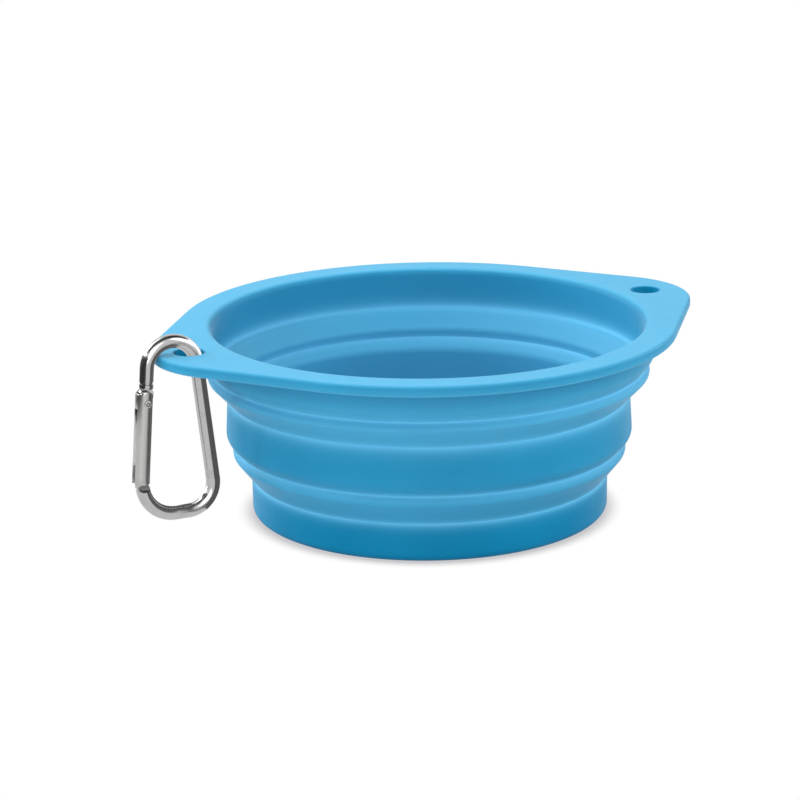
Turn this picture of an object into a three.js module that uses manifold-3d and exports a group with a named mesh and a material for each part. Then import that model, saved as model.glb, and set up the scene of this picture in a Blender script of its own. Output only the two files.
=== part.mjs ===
// Collapsible silicone pet bowl with a carabiner, in millimetres, +Z up.
// The origin is the centre of the base's underside. +X points to the bare ear, -X to the carabiner's ear.
import * as THREE from 'three';
import { mergeVertices } from 'three/addons/utils/BufferGeometryUtils.js';
import Module from 'manifold-3d';

// Heights of the bowl's rings, stacked from the floor up
const baseBandHeight = 10.4;
const lowerFoldHeight = 8.7;
const middleBandHeight = 13.6;
const upperFoldHeight = 7.9;
const upperBandHeight = 11.4;

// Radii and walls of the bowl: each fold takes the next band further out
const baseRadius = 48.1;
const baseEdgeRound = 1.9;
const floorThickness = 2.5;
const floorFillet = 2.0;
const lowerFoldReach = 6.7;
const middleTaper = 0.8;
const upperFoldReach = 6.1;
const upperWall = 2.9;
const flangeWidth = 5.5;
const flangeThickness = 3.0;
const flangeFillet = 1.5;
const edgeRound = 0.9;

// Hinge lines: how far a band's heel draws in above one, and the thin web that is left there.
// The shoulder inside a band's top is its heel turned half round
const heelDepth = 2.6;
const heelRise = 2.8;
const hingeStep = 0.9;
const foldBulge = 1.4;
const foldBulgeDrop = 1.7;
const foldEase = 0.35;
const partingGap = 0.3;

// Ears on the flange, counted outwards from the upper band: ledge, hole and strip
const earHoleLedge = 2.5;
const earHoleRadius = 4.2;
const earStrip = 6.2;
const earRadius = 24.6;

// Carabiner's bent rod
const rodDiameter = 3.7;
const carabinerHeight = 50.0;
const hangInset = 2.1;
const hangClearance = 0.32;
const bandClearance = 0.75;
const spineCornerRadius = 7.2;
const gateReach = 11.2;
const gateCornerRadius = 9.0;

// Gate, its rivet, its latch and its spring
const gateDiameter = 4.6;
const gateWall = 0.6;
const hingeDistance = 9.0;
const hingeInset = 0.2;
const hingeEndHeight = 3.2;
const hingeWindowTop = 1.5;
const hingeWindowFloor = 3.8;
const endClearance = 0.4;
const tongueThickness = 1.5;
const tongueRadius = 1.6;
const heelRadius = 0.6;
const heelInset = 1.1;
const heelDrop = 1.2;
const tongueArcEnd = 252;
const slotClearance = 0.25;
const rivetRadius = 0.6;
const rivetHeadRadius = 0.95;
const rivetHeadHeight = 0.35;
const latchPinRadius = 0.6;
const latchPinRise = 3.6;
const noseTip = 0.4;
const noseWidth = 2.5;
const pinClearance = 0.15;
const boreRadius = 1.1;
const boreWall = 0.45;
const boreFloor = 1.2;
const plungerLength = 1.2;
const springWire = 0.3;
const springClearance = 0.23;
const springPitch = 1.13;

// Facets
const ringSegments = 64;
const rimSegments = 96;
const curveSteps = 3;
const holeSegments = 20;
const rodSides = 12;
const rodStep = 1.7;
const pinSegments = 14;
const gateSegments = 20;
const springSteps = 8;
const springSides = 5;
const gapSamples = 24;
const cutMargin = 1;
const mergeTolerance = 1e-4;

// Places that follow from the sizes above
const lowerFoldTop = baseBandHeight + lowerFoldHeight;
const middleTop = lowerFoldTop + middleBandHeight;
const upperFoldTop = middleTop + upperFoldHeight;
const bowlHeight = upperFoldTop + upperBandHeight;
const flangeUnderside = bowlHeight - flangeThickness;
const middleRadius = baseRadius + lowerFoldReach;
const middleTopRadius = middleRadius - middleTaper;
const upperRadius = middleRadius + upperFoldReach;
const mouthRadius = upperRadius - upperWall;
const flangeRadius = upperRadius + flangeWidth;
const earHoleCentre = upperRadius + earHoleLedge + earHoleRadius;
const earTip = earHoleCentre + earHoleRadius + earStrip;
const rodRadius = rodDiameter / 2;
const gateRadius = gateDiameter / 2;

const wasm = await Module();
wasm.setup();

// One closed surface: shared corners merged, collapsed triangles dropped, faces turned outwards
function closeSurface(geometry) {
  const bare = geometry.clone();
  bare.deleteAttribute('normal');
  bare.deleteAttribute('uv');
  const merged = mergeVertices(bare, mergeTolerance);
  const index = merged.index.array;
  const corners = merged.attributes.position;
  const triangles = [];
  for (let i = 0; i < index.length; i += 3) {
    const [a, b, c] = [index[i], index[i + 1], index[i + 2]];
    if (a !== b && b !== c && c !== a) triangles.push([a, b, c]);
  }
  const point = (i) => new THREE.Vector3().fromBufferAttribute(corners, i);
  const volume = triangles.reduce((sum, [a, b, c]) => sum + point(a).dot(point(b).cross(point(c))), 0);
  merged.setIndex(triangles.flatMap(([a, b, c]) => (volume < 0 ? [a, c, b] : [a, b, c])));
  return merged;
}

function toSolid(geometry) {
  const closed = closeSurface(geometry);
  return new wasm.Manifold(new wasm.Mesh({
    numProp: 3,
    vertProperties: new Float32Array(closed.attributes.position.array),
    triVerts: new Uint32Array(closed.index.array),
  }));
}

function fromSolid(solid) {
  const { vertProperties, triVerts } = solid.getMesh();
  const geometry = new THREE.BufferGeometry();
  geometry.setAttribute('position', new THREE.BufferAttribute(new Float32Array(vertProperties), 3));
  geometry.setIndex(new THREE.BufferAttribute(new Uint32Array(triVerts), 1));
  return geometry;
}

function makePiece(name, geometry, material) {
  const mesh = new THREE.Mesh(closeSurface(geometry), material.clone());
  mesh.name = name;
  mesh.geometry.computeVertexNormals();
  return mesh;
}

// A section in (radius, height) turned about Z
function revolve(section, segments) {
  return new THREE.LatheGeometry(section.getPoints(curveSteps), segments).rotateX(Math.PI / 2);
}

// An outline in (x, z) given a thickness along Y, centred on Y = 0
function plate(outline, thickness) {
  const geometry = new THREE.ExtrudeGeometry(outline, {
    depth: thickness,
    bevelEnabled: false,
    curveSegments: curveSteps * 2,
  });
  return geometry.translate(0, 0, -thickness / 2).rotateX(Math.PI / 2);
}

function block(xRange, yRange, zRange) {
  const size = [xRange, yRange, zRange].map(([low, high]) => high - low);
  const middle = [xRange, yRange, zRange].map(([low, high]) => (low + high) / 2);
  return new THREE.BoxGeometry(...size).translate(...middle);
}

// A round pin along Y
function crossPin(radius, length, x, z) {
  return new THREE.CylinderGeometry(radius, radius, length, pinSegments).translate(x, 0, z);
}

// A round bar along Z
function uprightBar(radius, low, high, x, segments) {
  const bar = new THREE.CylinderGeometry(radius, radius, high - low, segments);
  return bar.rotateX(Math.PI / 2).translate(x, 0, (low + high) / 2);
}

const silicone = new THREE.MeshStandardMaterial({ color: 0x4fa9d6, roughness: 0.5, metalness: 0 });
const aluminium = new THREE.MeshStandardMaterial({ color: 0xc9cbce, roughness: 0.25, metalness: 1 });
const steel = new THREE.MeshStandardMaterial({ color: 0xa9abae, roughness: 0.35, metalness: 1 });

// Corners of the hinge line under a band, and of the one on top of the next band
function hingeUnder(bandRadius, height) {
  const outer = new THREE.Vector2(bandRadius - heelDepth, height);
  const inner = new THREE.Vector2(outer.x - hingeStep, height + hingeStep);
  return { outer, inner };
}

function hingeOver(bandRadius, height) {
  const outer = new THREE.Vector2(bandRadius, height);
  const inner = new THREE.Vector2(outer.x - hingeStep, height + hingeStep);
  return { outer, inner };
}

const upperHinge = hingeUnder(upperRadius, upperFoldTop);
const middleTopHinge = hingeOver(middleTopRadius, middleTop);
const middleHinge = hingeUnder(middleRadius, lowerFoldTop);
const baseTopHinge = hingeOver(baseRadius, baseBandHeight);

// Outer side of a band from its straight wall down to its hinge line, drawn in like a heel
function drawHeel(section, bandRadius, hinge) {
  const cornerHeight = hinge.outer.y + heelRise;
  section.lineTo(bandRadius, cornerHeight + heelRise / 2);
  const middle = new THREE.Vector2((bandRadius + hinge.outer.x) / 2, (cornerHeight + hinge.outer.y) / 2);
  section.quadraticCurveTo(bandRadius, cornerHeight, middle.x, middle.y);
  section.lineTo(hinge.outer.x, hinge.outer.y);
}

// Inner side of a band's top, from its hinge line in and down to the inner wall
function drawShoulder(section, hinge) {
  const corner = hinge.inner.clone().sub(new THREE.Vector2(heelDepth, heelRise));
  const middle = hinge.inner.clone().lerp(corner, 0.5);
  section.lineTo(hinge.inner.x, hinge.inner.y);
  section.lineTo(middle.x, middle.y);
  section.quadraticCurveTo(corner.x, corner.y, corner.x, corner.y - heelRise / 2);
}

function makeBaseCup() {
  const innerRadius = baseTopHinge.inner.x - heelDepth;
  const section = new THREE.Path();
  section.moveTo(0, 0);
  section.lineTo(baseRadius - baseEdgeRound, 0);
  section.quadraticCurveTo(baseRadius, 0, baseRadius, baseEdgeRound);
  section.lineTo(baseTopHinge.outer.x, baseTopHinge.outer.y);
  drawShoulder(section, baseTopHinge);
  section.lineTo(innerRadius, floorThickness + floorFillet);
  section.quadraticCurveTo(innerRadius, floorThickness, innerRadius - floorFillet, floorThickness);
  section.lineTo(0, floorThickness);
  return makePiece('base_cup', revolve(section, ringSegments), silicone);
}

function makeMiddleBand() {
  const section = new THREE.Path();
  section.moveTo(middleTopHinge.outer.x, middleTopHinge.outer.y);
  drawShoulder(section, middleTopHinge);
  section.lineTo(middleHinge.inner.x, middleHinge.inner.y);
  section.lineTo(middleHinge.outer.x, middleHinge.outer.y);
  const heel = new THREE.Path();
  heel.moveTo(middleTopHinge.outer.x, middleTopHinge.outer.y);
  drawHeel(heel, middleRadius, middleHinge);
  heel.getPoints(curveSteps).reverse().slice(1).forEach((p) => section.lineTo(p.x, p.y));
  return makePiece('middle_band', revolve(section, ringSegments), silicone);
}

// A fold's section is the same turned half round: a bulge beside the notch at each of its two hinge lines
function makeFold(name, top, bottom) {
  const gapStep = partingGap * Math.SQRT1_2;
  const shift = new THREE.Vector2(gapStep, gapStep);
  const topOuter = top.outer.clone().sub(shift);
  const topInner = top.inner.clone().sub(shift);
  const bottomOuter = bottom.outer.clone().add(shift);
  const bottomInner = bottom.inner.clone().add(shift);
  const bulge = new THREE.Vector2(foldBulge, -foldBulgeDrop);
  const outerCorner = topOuter.clone().add(bulge);
  const innerCorner = bottomInner.clone().sub(bulge);
  const outerEase = outerCorner.clone().lerp(bottomOuter, foldEase);
  const innerEase = innerCorner.clone().lerp(topInner, foldEase);
  const section = new THREE.Path();
  section.moveTo(topInner.x, topInner.y);
  section.lineTo(topOuter.x, topOuter.y);
  section.quadraticCurveTo(outerCorner.x, outerCorner.y, outerEase.x, outerEase.y);
  section.lineTo(bottomOuter.x, bottomOuter.y);
  section.lineTo(bottomInner.x, bottomInner.y);
  section.quadraticCurveTo(innerCorner.x, innerCorner.y, innerEase.x, innerEase.y);
  section.lineTo(topInner.x, topInner.y);
  return makePiece(name, revolve(section, ringSegments), silicone);
}

// Flange outline: a circle and a smaller ear circle at each end of X, joined by the straights that touch both
function flangeReach(angle) {
  const centre = earTip - earRadius;
  const touch = Math.acos((flangeRadius - earRadius) / centre);
  const earEnd = Math.atan2(earRadius * Math.sin(touch), centre + earRadius * Math.cos(touch));
  const turn = Math.acos(Math.abs(Math.cos(angle)));
  if (turn > touch) return flangeRadius;
  if (turn > earEnd) return flangeRadius / Math.cos(touch - turn);
  return centre * Math.cos(turn) + Math.sqrt(earRadius ** 2 - (centre * Math.sin(turn)) ** 2);
}

function makeRim() {
  const section = new THREE.Path();
  const edge = flangeRadius - edgeRound;
  section.moveTo(upperHinge.inner.x, upperHinge.inner.y);
  section.lineTo(mouthRadius, bowlHeight - edgeRound);
  section.quadraticCurveTo(mouthRadius, bowlHeight, mouthRadius + edgeRound, bowlHeight);
  section.lineTo(edge, bowlHeight);
  section.quadraticCurveTo(flangeRadius, bowlHeight, flangeRadius, bowlHeight - edgeRound);
  section.lineTo(flangeRadius, flangeUnderside + edgeRound);
  section.quadraticCurveTo(flangeRadius, flangeUnderside, edge, flangeUnderside);
  section.lineTo(upperRadius + flangeFillet, flangeUnderside);
  section.quadraticCurveTo(upperRadius, flangeUnderside, upperRadius, flangeUnderside - flangeFillet);
  drawHeel(section, upperRadius, upperHinge);
  section.lineTo(upperHinge.inner.x, upperHinge.inner.y);
  const ring = revolve(section, rimSegments);
  const corners = ring.attributes.position;
  for (let i = 0; i < corners.count; i += 1) {
    const [x, y] = [corners.getX(i), corners.getY(i)];
    const radius = Math.hypot(x, y);
    const reach = flangeReach(Math.atan2(y, x)) - flangeRadius;
    const stretch = radius > edge - edgeRound / 2 ? 1 + reach / radius : 1;
    corners.setXY(i, x * stretch, y * stretch);
  }
  let rim = toSolid(ring);
  for (const side of [-1, 1]) {
    rim = rim.subtract(toSolid(makeEarHole().translate(side * earHoleCentre, 0, 0)));
  }
  return makePiece('rim_with_ears', fromSolid(rim), silicone);
}

// The space of an ear's hole, flared at both faces so that the hole's edges come out rounded
function makeEarHole() {
  const wide = earHoleRadius + edgeRound;
  const section = new THREE.Path();
  section.moveTo(0, flangeUnderside - edgeRound);
  section.lineTo(wide, flangeUnderside - edgeRound);
  section.lineTo(wide, flangeUnderside);
  section.quadraticCurveTo(earHoleRadius, flangeUnderside, earHoleRadius, flangeUnderside + edgeRound);
  section.lineTo(earHoleRadius, bowlHeight - edgeRound);
  section.quadraticCurveTo(earHoleRadius, bowlHeight, wide, bowlHeight);
  section.lineTo(wide, bowlHeight + edgeRound);
  section.lineTo(0, bowlHeight + edgeRound);
  return revolve(section, holeSegments);
}

// The carabiner hangs on the strip between the hole and the ear's tip, its bend is centred on its swing axis,
// and its spine hangs beside the upper band
const hangX = -(earHoleCentre + earHoleRadius + hangInset);
const hangZ = flangeUnderside;
const stripCorner = Math.hypot(earTip + hangX - edgeRound, flangeThickness - edgeRound) + edgeRound;
const bendRadius = stripCorner + hangClearance + rodRadius;
const spineReach = -hangX - upperRadius - bandClearance;

// Round corners of the rod's centre line, in (x, z) from the swing axis
const rodFoot = bendRadius + rodDiameter - carabinerHeight;
const bend = { centre: new THREE.Vector2(0, 0), radius: bendRadius };
const spineCorner = {
  centre: new THREE.Vector2(spineReach - rodRadius - spineCornerRadius, rodFoot + spineCornerRadius),
  radius: spineCornerRadius,
};
const gateCorner = {
  centre: new THREE.Vector2(gateCornerRadius + rodRadius - gateReach, rodFoot + gateCornerRadius),
  radius: gateCornerRadius,
};

// Angle of the outward normal of the straight that touches two round corners, the second one lower
function tangentAngle(upper, lower, side) {
  const across = lower.centre.clone().sub(upper.centre);
  const lean = Math.asin((lower.radius - upper.radius) / across.length());
  const slope = Math.atan2(side * across.x, -across.y);
  const tilt = slope + lean;
  return side > 0 ? tilt : Math.PI - tilt;
}

const onCorner = (corner, angle) => new THREE.Vector2(
  corner.centre.x + corner.radius * Math.cos(angle),
  corner.centre.y + corner.radius * Math.sin(angle),
);

const spineAngle = tangentAngle(bend, spineCorner, 1);
const gateAngle = tangentAngle(bend, gateCorner, -1);
const gateLineTop = onCorner(bend, gateAngle);
const gateLineFoot = onCorner(gateCorner, gateAngle);
const gateLine = gateLineFoot.clone().sub(gateLineTop);
const gateDirection = gateLine.clone().normalize();
const gateTilt = Math.PI - gateAngle;

// In the gate's own frame Z runs up the gate, X points into the carabiner and the rivet is the origin
const tubeX = -hingeInset;
const rodLineX = tubeX + gateRadius - rodRadius;
const gateFoot = hingeDistance - gateLine.length() - endClearance;
const shoulderZ = gateFoot - endClearance;
const rodEndZ = hingeEndHeight + endClearance;
const outwards = new THREE.Vector2(Math.cos(gateAngle), Math.sin(gateAngle));
const rivetPlace = gateLineTop.clone()
  .addScaledVector(gateDirection, hingeDistance)
  .addScaledVector(outwards, rodLineX);
const gateFrame = new THREE.Matrix4().makeRotationY(gateTilt).setPosition(rivetPlace.x, 0, rivetPlace.y);
const pinZ = gateFoot + latchPinRise;
const notchRadius = latchPinRadius + 2 * pinClearance;
const noseTop = pinZ + notchRadius + noseTip;
const noseSlotTop = noseTop + endClearance;
const slotWidth = tongueThickness + 2 * slotClearance;
const heelSweep = Math.hypot(heelInset, heelDrop) + heelRadius;
const boreX = tubeX + gateRadius - boreWall - boreRadius;
const boreEnd = noseSlotTop + boreFloor;

function makeRod() {
  const start = gateLineTop.clone().addScaledVector(gateDirection, hingeDistance - rodEndZ);
  const end = gateLineFoot.clone().addScaledVector(gateDirection, gateFoot + endClearance - noseTop);
  const route = new THREE.Path();
  route.moveTo(start.x, start.y);
  route.lineTo(gateLineTop.x, gateLineTop.y);
  const arcs = [
    [bend, gateAngle, spineAngle],
    [spineCorner, spineAngle, -Math.PI / 2],
    [gateCorner, -Math.PI / 2, gateAngle - 2 * Math.PI],
  ];
  for (const [corner, from, to] of arcs) {
    route.absarc(corner.centre.x, corner.centre.y, corner.radius, from, to, true);
  }
  route.lineTo(end.x, end.y);
  const steps = Math.round(route.getLength() / rodStep);
  const points = route.getSpacedPoints(steps).map((p) => new THREE.Vector3(p.x, 0, p.y));
  const circle = new THREE.Shape().absarc(0, 0, rodRadius, 0, 2 * Math.PI, false);
  return new THREE.ExtrudeGeometry(circle, {
    steps,
    curveSegments: rodSides / 2,
    extrudePath: new THREE.CatmullRomCurve3(points),
  });
}

// Flat tongue round the rivet, with a heel that the plunger presses on
function makeTongue() {
  const innerX = rodLineX + rodRadius;
  const arcEnd = THREE.MathUtils.degToRad(tongueArcEnd);
  const outline = new THREE.Shape();
  outline.moveTo(-tongueRadius, rodEndZ + rodRadius);
  outline.lineTo(-tongueRadius, 0);
  outline.absarc(0, 0, tongueRadius, Math.PI, arcEnd, false);
  outline.absarc(heelInset, -heelDrop, heelRadius, arcEnd, 2 * Math.PI, false);
  outline.lineTo(innerX, tongueRadius);
  outline.lineTo(innerX, rodEndZ + rodRadius);
  return plate(outline, tongueThickness);
}

function makeCarabinerFrame() {
  const inGate = (geometry) => toSolid(geometry.applyMatrix4(gateFrame));
  const flat = tongueThickness / 2;
  const above = noseTop + rodDiameter;
  const nosePart = [shoulderZ, above];
  const noseInner = rodLineX - rodRadius + noseWidth;
  let frame = toSolid(makeRod());
  frame = frame.subtract(inGate(block([-gateDiameter, gateDiameter], [flat, rodDiameter], nosePart)));
  frame = frame.subtract(inGate(block([-gateDiameter, gateDiameter], [-rodDiameter, -flat], nosePart)));
  frame = frame.subtract(inGate(block([noseInner, gateDiameter], [-rodDiameter, rodDiameter], nosePart)));
  const notch = [pinZ - notchRadius, pinZ + notchRadius];
  frame = frame.subtract(inGate(block([tubeX, gateDiameter], [-rodRadius, rodRadius], notch)));
  frame = frame.subtract(inGate(crossPin(notchRadius, rodDiameter, tubeX, pinZ)));
  frame = frame.add(inGate(makeTongue()));
  frame = frame.subtract(inGate(crossPin(rivetRadius + pinClearance, rodDiameter, 0, 0)));
  return makePiece('carabiner_frame', fromSolid(frame), aluminium);
}

// Tube rounded off at the hinge end, slotted for the tongue and the nose, and bored for the spring
function makeGate() {
  const outline = new THREE.Shape();
  const roundCentre = hingeEndHeight - gateRadius;
  outline.moveTo(tubeX - gateRadius, gateFoot);
  outline.lineTo(tubeX + gateRadius, gateFoot);
  outline.lineTo(tubeX + gateRadius, roundCentre);
  outline.absarc(tubeX, roundCentre, gateRadius, 0, Math.PI, false);
  const [low, high] = [gateFoot - cutMargin, hingeEndHeight + cutMargin];
  const tube = uprightBar(gateRadius, low, high, tubeX, gateSegments);
  const half = slotWidth / 2;
  const slotInner = rodLineX - rodRadius + noseWidth + slotClearance;
  const outerWall = tubeX - gateRadius + gateWall;
  const cuts = [
    block([outerWall, gateDiameter], [-half, half], [-heelSweep - slotClearance, high]),
    block([-gateDiameter, boreX], [-half, half], [-hingeWindowFloor, -hingeWindowTop]),
    block([-gateDiameter, slotInner], [-half, half], [low, noseSlotTop]),
    uprightBar(boreRadius, boreEnd, 0, boreX, pinSegments),
    crossPin(rivetRadius + pinClearance, 2 * gateDiameter, 0, 0),
    crossPin(latchPinRadius + pinClearance, 2 * gateDiameter, tubeX, pinZ),
  ];
  let gate = toSolid(tube).intersect(toSolid(plate(outline, 2 * gateDiameter)));
  for (const cut of cuts) gate = gate.subtract(toSolid(cut));
  return makePiece('carabiner_gate', fromSolid(gate), aluminium);
}

// Rivet with a domed head on each cheek of the gate
function makeRivet() {
  const seat = gateRadius + pinClearance;
  const section = new THREE.Path();
  section.moveTo(0, -seat - rivetHeadHeight);
  section.quadraticCurveTo(rivetHeadRadius, -seat - rivetHeadHeight, rivetHeadRadius, -seat);
  section.lineTo(rivetRadius, -seat);
  section.lineTo(rivetRadius, seat);
  section.lineTo(rivetHeadRadius, seat);
  section.quadraticCurveTo(rivetHeadRadius, seat + rivetHeadHeight, 0, seat + rivetHeadHeight);
  const rivet = new THREE.LatheGeometry(section.getPoints(curveSteps), pinSegments);
  return makePiece('gate_rivet', rivet, steel);
}

function makeLatchPin() {
  return makePiece('latch_pin', crossPin(latchPinRadius, gateDiameter, tubeX, pinZ), steel);
}

const plungerTop = -(heelDrop + heelRadius + pinClearance);
const springTop = plungerTop - plungerLength - springWire / 2 - pinClearance;
const springFoot = boreEnd + springWire / 2 + pinClearance;
const springRadius = boreRadius - springClearance - springWire / 2;
const springTurns = Math.round((springTop - springFoot) / springPitch);

function makePlunger() {
  const radius = boreRadius - pinClearance;
  const bar = uprightBar(radius, plungerTop - plungerLength, plungerTop, boreX, pinSegments);
  return makePiece('spring_plunger', bar, steel);
}

class Helix extends THREE.Curve {
  getPoint(t, target = new THREE.Vector3()) {
    const angle = 2 * Math.PI * springTurns * t;
    const height = springFoot + (springTop - springFoot) * t;
    return target.set(boreX + springRadius * Math.cos(angle), springRadius * Math.sin(angle), height);
  }
}

// Least distance between points half a turn or more apart, less the wire
function leastSpringGap(helix) {
  const points = helix.getPoints(springTurns * gapSamples);
  let least = Infinity;
  for (let i = 0; i < points.length; i += 1) {
    for (let j = i + gapSamples / 2; j < points.length; j += 1) {
      least = Math.min(least, points[i].distanceTo(points[j]));
    }
  }
  return least - springWire;
}

function makeSpring() {
  const helix = new Helix();
  const wire = new THREE.Shape();
  for (let i = 0; i < springSides; i += 1) {
    const angle = (2 * Math.PI * i) / springSides;
    const corner = [springWire / 2 * Math.cos(angle), springWire / 2 * Math.sin(angle)];
    if (i === 0) wire.moveTo(...corner);
    else wire.lineTo(...corner);
  }
  const tube = new THREE.ExtrudeGeometry(wire, { steps: springTurns * springSteps, extrudePath: helix });
  console.log(`gate spring: least gap between turns ${leastSpringGap(helix).toFixed(2)} mm`);
  return makePiece('gate_spring', tube, steel);
}

const gate = new THREE.Group();
gate.position.set(rivetPlace.x, 0, rivetPlace.y);
gate.rotation.y = gateTilt;
gate.add(makeGate(), makeRivet(), makeLatchPin(), makePlunger(), makeSpring());

const carabiner = new THREE.Group();
carabiner.position.set(hangX, 0, hangZ);
carabiner.add(makeCarabinerFrame(), gate);

const bowl = new THREE.Group();
bowl.add(
  makeBaseCup(),
  makeFold('lower_fold', middleHinge, baseTopHinge),
  makeMiddleBand(),
  makeFold('upper_fold', upperHinge, middleTopHinge),
  makeRim(),
  carabiner,
);

export default bowl;
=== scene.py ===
# Looks for the collapsible silicone bowl and its carabiner, built in the CAD frame
import math

import bmesh
import bpy
import numpy as np
from mathutils import Matrix, Vector


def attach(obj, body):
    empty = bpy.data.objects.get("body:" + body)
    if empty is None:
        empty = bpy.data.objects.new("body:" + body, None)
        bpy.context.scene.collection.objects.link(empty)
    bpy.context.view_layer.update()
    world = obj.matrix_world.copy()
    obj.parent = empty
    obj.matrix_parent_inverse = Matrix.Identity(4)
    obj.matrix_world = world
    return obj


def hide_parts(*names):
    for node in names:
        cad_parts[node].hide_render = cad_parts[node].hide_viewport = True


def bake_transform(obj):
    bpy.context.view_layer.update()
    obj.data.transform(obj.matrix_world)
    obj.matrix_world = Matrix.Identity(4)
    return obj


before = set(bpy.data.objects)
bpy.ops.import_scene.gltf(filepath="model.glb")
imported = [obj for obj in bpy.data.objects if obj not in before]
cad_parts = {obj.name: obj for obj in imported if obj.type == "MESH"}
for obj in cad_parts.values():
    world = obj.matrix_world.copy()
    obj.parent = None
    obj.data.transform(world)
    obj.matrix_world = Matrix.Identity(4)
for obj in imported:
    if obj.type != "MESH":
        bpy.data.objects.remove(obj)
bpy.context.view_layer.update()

mm = 0.001  # shapes are drawn in millimetres, the stage in metres
scene = bpy.context.scene
print("frame loaded:", sorted(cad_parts))


# Shapes

def unit(v):
    # Vectors brought to length 1
    return v / np.linalg.norm(v, axis=-1, keepdims=True)


def roundedLine(corners, steps=9):
    # Straight runs between corners (x, y, radius); each corner becomes the arc that touches both runs
    c = np.array(corners, float)
    parts = [c[:1, :2]]
    for before, here, after in zip(c[:-2], c[1:-1], c[2:]):
        point, radius = here[:2], here[2]
        a, b = unit(before[:2] - point), unit(after[:2] - point)
        half = math.acos(np.clip(a @ b, -1, 1)) / 2
        if radius == 0 or half > 1.57:  # a sharp corner, or hardly a turn
            parts.append(point[None])
            continue
        centre = point + unit(a + b) * radius / math.sin(half)
        first = point + a * radius / math.tan(half) - centre
        last = point + b * radius / math.tan(half) - centre
        turn = math.pi - 2 * half
        t = np.linspace(0, 1, steps)[:, None]
        parts.append(centre + (np.sin((1 - t) * turn) * first + np.sin(t * turn) * last) / math.sin(turn))
    parts.append(c[-1:, :2])
    return np.vstack(parts)


def evenLine(line, step):
    # The same line with points added on its straight runs, so that neighbours lie no further apart than step
    gaps = np.linalg.norm(np.diff(line, axis=0), axis=1)
    counts = np.maximum(np.ceil(gaps / step).astype(int), 1)
    index = np.repeat(np.arange(len(gaps)), counts)
    share = (np.arange(counts.sum()) - np.repeat(np.cumsum(counts) - counts, counts)) / counts[index]
    return np.vstack([line[index] + share[:, None] * (line[index + 1] - line[index]), line[-1:]])


def lathe(line, segments):
    # x = r cos a, y = r sin a, z = h for each point (r, h) of the line and each angle a of a full turn
    a = np.linspace(0, 2 * np.pi, segments, endpoint=False)
    r, h = line[:, 0, None], line[:, 1, None]
    return np.stack([r * np.cos(a), r * np.sin(a), h + 0 * a], axis=-1)


def edgeStrip(outline, profile):
    # A profile (d, h) carried round a closed flat outline: p - d n at height h, n its outward normal
    along = np.roll(outline, -1, axis=0) - np.roll(outline, 1, axis=0)
    n = unit(np.stack([along[:, 1], -along[:, 0]], axis=-1))
    flat = outline[None] - profile[:, 0, None, None] * n[None]
    height = np.broadcast_to(profile[:, 1, None, None], flat.shape[:2] + (1,))
    return np.concatenate([flat, height], axis=-1)


def sweep(path, across, radius, sides):
    # Circles carried along a path: p + radius (u cos a + v sin a), u square to the path, v = tangent x u
    t = unit(np.gradient(path, axis=0))
    u = unit(across - np.sum(across * t, axis=1, keepdims=True) * t)
    v = np.cross(t, u)
    a = np.linspace(0, 2 * np.pi, sides, endpoint=False)[None, :, None]
    return path[:, None] + radius * (u[:, None] * np.cos(a) + v[:, None] * np.sin(a))


def capped(rings, firstEdge, lastEdge, steps=5):
    # Closes a tube: past each end, rings follow a quarter circle of the edge's radius and meet in a point
    def end(ring, outward, edge):
        centre = ring.mean(axis=0)
        size = np.linalg.norm(ring[0] - centre)
        f = np.linspace(0, np.pi / 2, steps)[1:, None, None]
        shrink = (size - edge * (1 - np.cos(f))) / size
        turned = centre + (ring - centre)[None] * shrink + outward * edge * np.sin(f)
        return np.concatenate([turned, np.broadcast_to(turned[-1].mean(axis=0), (1,) + ring.shape)])
    first = end(rings[0], unit(rings[0].mean(axis=0) - rings[1].mean(axis=0)), firstEdge)
    last = end(rings[-1], unit(rings[-1].mean(axis=0) - rings[-2].mean(axis=0)), lastEdge)
    return np.concatenate([first[::-1], rings, last])


def sheet(grid, wrapRows=False, wrapColumns=True):
    # Points and four-sided faces of a grid of points, closed along either way if asked
    rows, columns = grid.shape[:2]
    i = np.arange(rows - (not wrapRows))[:, None]
    j = np.arange(columns - (not wrapColumns))[None, :]
    below, right = (i + 1) % rows, (j + 1) % columns
    quads = [i * columns + j, below * columns + j, below * columns + right, i * columns + right]
    return grid.reshape(-1, 3), np.stack(quads, axis=-1).reshape(-1, 4)


def shell(sheets, flats=(), place=Matrix.Identity(4)):
    # Sheets joined into one closed mesh: shared edges merged, open loops at the flats filled, then placed
    starts = np.cumsum([0] + [len(points) for points, faces in sheets])
    points = np.vstack([points for points, faces in sheets])
    faces = np.vstack([faces + start for (_, faces), start in zip(sheets, starts)])
    mesh = bpy.data.meshes.new("shell")
    mesh.from_pydata(points.tolist(), [], faces.tolist())
    work = bmesh.new()
    work.from_mesh(mesh)
    bmesh.ops.remove_doubles(work, verts=work.verts, dist=1e-5)  # still in millimetres
    for height in flats:
        rim = [e for e in work.edges if e.is_boundary and all(abs(v.co.z - height) < 1e-4 for v in e.verts)]
        bmesh.ops.triangle_fill(work, use_beauty=True, edges=rim)
    bmesh.ops.recalc_face_normals(work, faces=work.faces)
    if work.calc_volume(signed=True) < 0:
        bmesh.ops.reverse_faces(work, faces=work.faces)
    work.to_mesh(mesh)
    work.free()
    mesh.transform(Matrix.Scale(mm, 4) @ place)
    return mesh


def smoothed(piece, sharp=35):
    # Smooth shading but for edges sharper than the given angle
    piece.data.polygons.foreach_set("use_smooth", np.ones(len(piece.data.polygons), bool))
    piece.data.set_sharp_from_angle(angle=math.radians(sharp))
    return piece


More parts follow.
